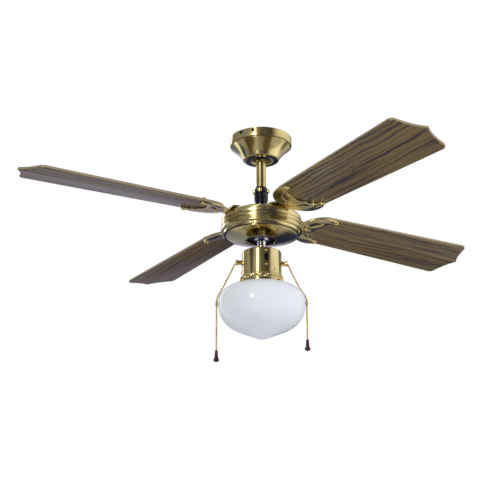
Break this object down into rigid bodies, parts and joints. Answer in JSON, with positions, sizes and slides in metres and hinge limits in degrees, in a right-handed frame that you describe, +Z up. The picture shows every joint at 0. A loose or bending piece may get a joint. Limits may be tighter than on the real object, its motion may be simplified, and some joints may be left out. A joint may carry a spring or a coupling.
{
  "type": "ceiling fan with light",
  "caption": "Ceiling fan on a short downrod with pitched wooden blades on crescent irons, an antique brass motor, a pull-chain switch housing and an opal glass globe.",
  "frame": {"origin": "middle of the ceiling bracket's top face, on the ceiling", "axes": "+Z up into the ceiling, along the downrod; -Y faces the reversing switch"},
  "size_m": [0.917, 0.917, 0.4845],
  "materials": {
    "antique_brass": "brushed antique brass under clear lacquer",
    "polished_brass": "polished and lacquered",
    "brass_screws": "bright brass plate",
    "bead_chain": "bright brass beads",
    "zinc_steel": "zinc plated",
    "plated_steel": "bright nickel plate",
    "black_metal": "satin black enamel",
    "black_plastic": "moulded black plastic",
    "pale_plastic": "moulded plastic",
    "copper_wire": "enamelled copper wire",
    "walnut": "dark walnut grain, satin lacquer",
    "dark_wood": "dark stained and polished",
    "porcelain": "glazed",
    "bulb_glass": "frosted",
    "opal_glass": "opal white glass, gloss"
  },
  "bodies": {
    "ceiling_mount": {"ceiling_bracket": "zinc_steel", "terminal_block": "pale_plastic", "canopy": "antique_brass", "canopy_screws": "black_metal"},
    "hanging_unit": {"hanger_ball": "black_plastic", "hanger_pin": "zinc_steel", "downrod": "antique_brass", "coupler": "black_metal", "coupler_screws": "brass_screws", "clevis_pin": "zinc_steel", "motor_shaft": "zinc_steel", "upper_bearing": "zinc_steel", "lower_bearing": "zinc_steel", "stator_core": "zinc_steel", "stator_windings": "copper_wire", "lower_plate": "black_metal", "lock_washer": "plated_steel", "nipple": "plated_steel", "nipple_nuts": "plated_steel", "switch_housing": "polished_brass", "switch_housing_screws": "brass_screws", "reverse_switch": "black_plastic", "reverse_switch_screws": "brass_screws", "pull_switches": "black_plastic", "chain_bells": "brass_screws", "capacitor": "pale_plastic", "fitter_pan": "polished_brass", "rope_band": "polished_brass", "lamp_holder": "porcelain", "bulb": "bulb_glass", "glass_globe": "opal_glass"},
    "rotor": {"motor_housing": "antique_brass", "rotor_ring": "zinc_steel", "rotor_base": "black_metal", "bowl_cover": "antique_brass", "cover_screws": "brass_screws", "blade_iron_1": "antique_brass", "blade_iron_2": "antique_brass", "blade_iron_3": "antique_brass", "blade_iron_4": "antique_brass", "iron_screws": "brass_screws", "blade_1": "walnut", "blade_2": "walnut", "blade_3": "walnut", "blade_4": "walnut", "blade_screws": "brass_screws", "blade_nuts": "brass_screws"},
    "switch_slider": {"reverse_slider": "black_plastic"},
    "left_pull": {"pull_actuator_left": "polished_brass"},
    "right_pull": {"pull_actuator_right": "polished_brass"},
    "left_chain": {"chain_left": "bead_chain", "chain_connector_left": "bead_chain", "pendant_left": "dark_wood"},
    "right_chain": {"chain_right": "bead_chain", "chain_connector_right": "bead_chain", "pendant_right": "dark_wood"},
    "thumb_1": {"thumbscrew_1": "polished_brass"},
    "thumb_2": {"thumbscrew_2": "polished_brass"},
    "thumb_3": {"thumbscrew_3": "polished_brass"}
  },
  "joints": [
    {"name": "hanger_tilt", "type": "hinge", "parent": "ceiling_mount", "child": "hanging_unit", "pos_m": [0, 0, -0.027], "axis": [0, 1, 0], "range_deg": [-12, 12]},
    {"name": "rotor_spin", "type": "hinge", "parent": "hanging_unit", "child": "rotor", "pos_m": [0, 0, -0.19], "axis": [0, 0, 1], "continuous": true},
    {"name": "reverse_slide", "type": "slide", "parent": "hanging_unit", "child": "switch_slider", "axis": [0, 0, 1], "range_m": [0, 0.007]},
    {"name": "pull_left", "type": "slide", "parent": "hanging_unit", "child": "left_pull", "axis": [-0.9945, -0.1045, 0], "range_m": [0, 0.006], "stiffness_N_per_m": 600},
    {"name": "pull_right", "type": "slide", "parent": "hanging_unit", "child": "right_pull", "axis": [0.9945, 0.1045, 0], "range_m": [0, 0.006], "stiffness_N_per_m": 600},
    {"name": "chain_swing_left", "type": "hinge", "parent": "left_pull", "child": "left_chain", "pos_m": [-0.05291, -0.00556, -0.2767], "axis": [-0.1045, 0.9945, 0], "range_deg": [0, 30]},
    {"name": "chain_swing_right", "type": "hinge", "parent": "right_pull", "child": "right_chain", "pos_m": [0.05291, 0.00556, -0.2767], "axis": [0.1045, -0.9945, 0], "range_deg": [0, 30]},
    {"name": "thumb_1_back_off", "type": "slide", "parent": "hanging_unit", "child": "thumb_1", "axis": [0.8192, -0.5736, 0], "range_m": [0, 0.003]},
    {"name": "thumb_2_back_off", "type": "slide", "parent": "hanging_unit", "child": "thumb_2", "axis": [0.0872, 0.9962, 0], "range_m": [0, 0.003]},
    {"name": "thumb_3_back_off", "type": "slide", "parent": "hanging_unit", "child": "thumb_3", "axis": [-0.9063, -0.4226, 0], "range_m": [0, 0.003]}
  ]
}
